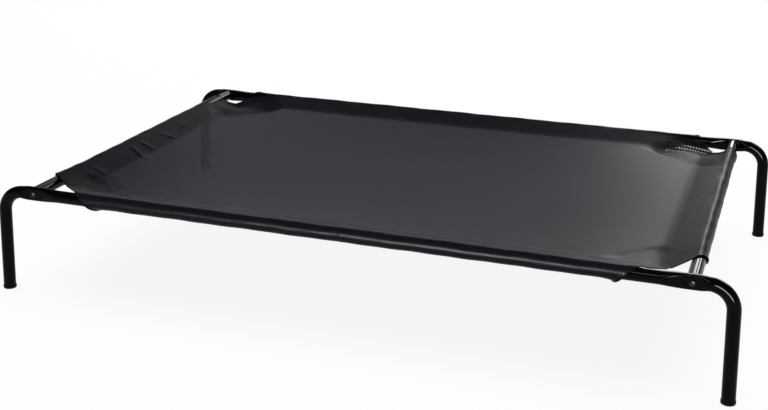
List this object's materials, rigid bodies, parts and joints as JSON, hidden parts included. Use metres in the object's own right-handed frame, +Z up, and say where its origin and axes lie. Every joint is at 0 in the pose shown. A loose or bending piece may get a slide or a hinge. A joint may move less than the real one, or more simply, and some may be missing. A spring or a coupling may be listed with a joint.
{
  "type": "raised dog cot",
  "caption": "Low raised pet cot: a woven mesh sheet with folded sleeves stretched over a bolted black steel tube frame with bent legs and plastic foot caps.",
  "frame": {"origin": "middle of the cot's outline on the floor", "axes": "+X along the long side to the right, +Y from front to back, +Z up"},
  "size_m": [1.3014, 0.8026, 0.2015],
  "materials": {
    "tube_coat": "gloss black powder coat",
    "bolt_coat": "black oxide",
    "plug_steel": "zinc plated",
    "foot_plastic": "moulded black",
    "hem_cloth": "coated polyester mesh, folded double",
    "mesh_cloth": "coated polyester mesh, one layer"
  },
  "bodies": {
    "frame": {"front_left_rail": "tube_coat", "front_right_rail": "tube_coat", "back_left_rail": "tube_coat", "back_right_rail": "tube_coat", "left_cross_bar": "tube_coat", "right_cross_bar": "tube_coat", "front_left_plug": "plug_steel", "front_right_plug": "plug_steel", "back_left_plug": "plug_steel", "back_right_plug": "plug_steel", "front_left_bolt": "bolt_coat", "front_right_bolt": "bolt_coat", "back_left_bolt": "bolt_coat", "back_right_bolt": "bolt_coat", "front_left_foot": "foot_plastic", "front_right_foot": "foot_plastic", "back_left_foot": "foot_plastic", "back_right_foot": "foot_plastic", "front_sleeve": "hem_cloth", "back_sleeve": "hem_cloth", "left_sleeve": "hem_cloth", "right_sleeve": "hem_cloth"},
    "sheet": {"mesh_panel": "mesh_cloth"}
  },
  "joints": [
    {"name": "sheet_give", "type": "slide", "parent": "frame", "child": "sheet", "axis": [0, 0, -1], "range_m": [0, 0.045], "stiffness_N_per_m": 6000}
  ]
}
